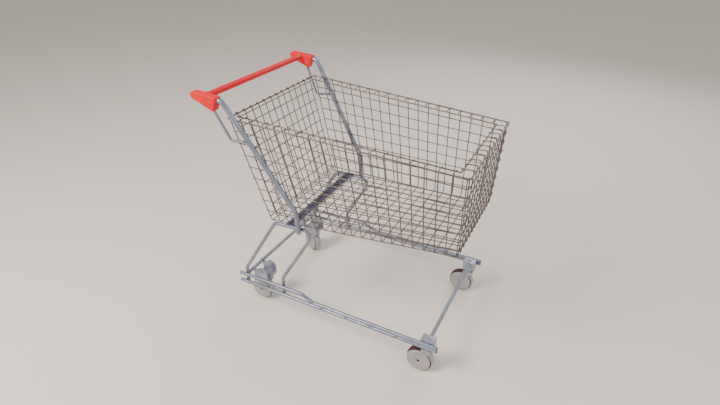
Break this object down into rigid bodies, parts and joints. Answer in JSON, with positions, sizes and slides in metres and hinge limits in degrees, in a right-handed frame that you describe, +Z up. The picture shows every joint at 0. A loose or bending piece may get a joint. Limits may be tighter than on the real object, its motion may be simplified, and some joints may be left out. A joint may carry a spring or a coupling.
{
  "type": "shopping cart",
  "caption": "Wire-basket shopping cart with a lifting rear gate, red handle bar, tube frame and swivel casters.",
  "frame": {"origin": "on the floor under the middle of the cart's overall length and width", "axes": "+X forward towards the basket's nose, +Y to the left, +Z up"},
  "size_m": [1.0391, 0.6702, 1.015],
  "materials": {
    "wire_steel": "bright zinc and lacquer over drawn wire",
    "tube_steel": "light blue-grey lacquered tube",
    "plate_steel": "dark slate-blue coated sheet",
    "caster_steel": "zinc plated pressed sheet",
    "red_plastic": "satin moulded plastic",
    "guard_plastic": "light grey moulded plastic",
    "hub_plastic": "grey moulded plastic",
    "plug_plastic": "grey moulded plastic",
    "tyre": "dark reddish brown rubber"
  },
  "bodies": {
    "cart": {"handle_core": "tube_steel", "handle_grip": "red_plastic", "handle_cap_left": "red_plastic", "handle_cap_right": "red_plastic", "side_tube_left": "tube_steel", "side_tube_right": "tube_steel", "handle_brace_left": "tube_steel", "handle_brace_right": "tube_steel", "basket_frame_left": "tube_steel", "basket_frame_right": "tube_steel", "cross_plate": "plate_steel", "lower_rail_left": "tube_steel", "lower_rail_right": "tube_steel", "upper_rail_left": "tube_steel", "upper_rail_right": "tube_steel", "rail_plugs": "plug_plastic", "front_cross_tube": "tube_steel", "rear_cross_tube": "tube_steel", "rim_side_wires": "wire_steel", "rim_front_wire": "wire_steel", "rim_rear_wire": "wire_steel", "rim_corner_bends": "wire_steel", "inner_rim_side_wires": "wire_steel", "inner_rim_front_wire": "wire_steel", "floor_cross_wires": "wire_steel", "floor_long_wires": "wire_steel", "side_uprights": "wire_steel", "rib_corner_bends": "wire_steel", "side_hooks": "wire_steel", "side_wires": "wire_steel", "front_wires": "wire_steel", "front_corner_bends": "wire_steel", "front_uprights": "wire_steel", "front_foot_bends": "wire_steel", "front_hooks": "wire_steel", "gate_stop_wire": "wire_steel", "front_caster_heads": "caster_steel", "rear_caster_heads": "caster_steel"},
    "gate": {"gate_uprights": "wire_steel", "gate_wires": "wire_steel", "gate_hooks": "wire_steel"},
    "fork_front_left": {"fork_front_left": "caster_steel", "guards_front_left": "guard_plastic"},
    "fork_front_right": {"fork_front_right": "caster_steel", "guards_front_right": "guard_plastic"},
    "fork_rear_left": {"fork_rear_left": "caster_steel", "guards_rear_left": "guard_plastic"},
    "fork_rear_right": {"fork_rear_right": "caster_steel", "guards_rear_right": "guard_plastic"},
    "wheel_front_left": {"hub_front_left": "hub_plastic", "tyre_front_left": "tyre"},
    "wheel_front_right": {"hub_front_right": "hub_plastic", "tyre_front_right": "tyre"},
    "wheel_rear_left": {"hub_rear_left": "hub_plastic", "tyre_rear_left": "tyre"},
    "wheel_rear_right": {"hub_rear_right": "hub_plastic", "tyre_rear_right": "tyre"}
  },
  "joints": [
    {"name": "gate_hinge", "type": "hinge", "parent": "cart", "child": "gate", "pos_m": [-0.38664, 0, 0.92334], "axis": [0, -1, 0], "range_deg": [0, 80]},
    {"name": "swivel_front_left", "type": "hinge", "parent": "cart", "child": "fork_front_left", "pos_m": [0.44044, 0.27, 0.1], "axis": [0, 0, 1], "continuous": true},
    {"name": "spin_front_left", "type": "hinge", "parent": "fork_front_left", "child": "wheel_front_left", "pos_m": [0.41045, 0.27, 0.053], "axis": [0, 1, 0], "continuous": true},
    {"name": "swivel_front_right", "type": "hinge", "parent": "cart", "child": "fork_front_right", "pos_m": [0.44044, -0.27, 0.1], "axis": [0, 0, 1], "continuous": true},
    {"name": "spin_front_right", "type": "hinge", "parent": "fork_front_right", "child": "wheel_front_right", "pos_m": [0.41045, -0.27, 0.053], "axis": [0, 1, 0], "continuous": true},
    {"name": "swivel_rear_left", "type": "hinge", "parent": "cart", "child": "fork_rear_left", "pos_m": [-0.36756, 0.208, 0.1], "axis": [0, 0, 1], "continuous": true},
    {"name": "spin_rear_left", "type": "hinge", "parent": "fork_rear_left", "child": "wheel_rear_left", "pos_m": [-0.39404, 0.22208, 0.053], "axis": [0.4695, 0.8829, 0], "continuous": true},
    {"name": "swivel_rear_right", "type": "hinge", "parent": "cart", "child": "fork_rear_right", "pos_m": [-0.36756, -0.208, 0.1], "axis": [0, 0, 1], "continuous": true},
    {"name": "spin_rear_right", "type": "hinge", "parent": "fork_rear_right", "child": "wheel_rear_right", "pos_m": [-0.39755, -0.208, 0.053], "axis": [0, 1, 0], "continuous": true}
  ]
}
